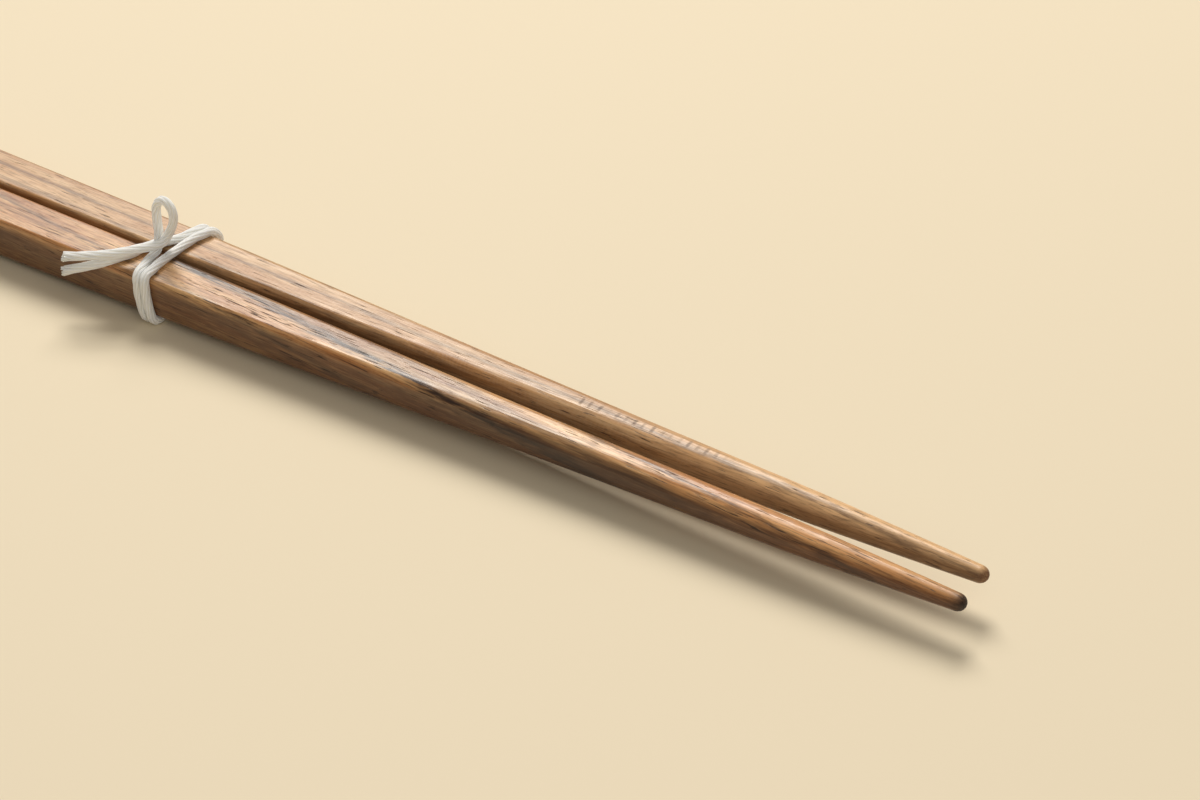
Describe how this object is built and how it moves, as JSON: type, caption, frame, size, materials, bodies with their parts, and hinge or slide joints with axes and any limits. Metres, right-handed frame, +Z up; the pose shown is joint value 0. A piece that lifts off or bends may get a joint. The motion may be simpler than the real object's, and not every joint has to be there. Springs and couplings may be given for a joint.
{
  "type": "pair of chopsticks",
  "caption": "Slim wooden eating sticks, square at the handle and tapering to a round domed tip, bound side by side by a soft cotton cord tied in a half bow.",
  "frame": {"origin": "on the table under the pair, midway along the sticks and midway between them", "axes": "+X from the handle ends to the tips, +Y from the near stick to the far one, +Z up"},
  "size_m": [0.23, 0.0225, 0.0185],
  "materials": {
    "streaked_wood": "oiled satin",
    "even_wood": "oiled satin",
    "cotton_cord": "matt cotton"
  },
  "bodies": {
    "root": {"near_chopstick": "streaked_wood", "far_chopstick": "even_wood", "tie_cord": "cotton_cord"}
  },
  "joints": []
}
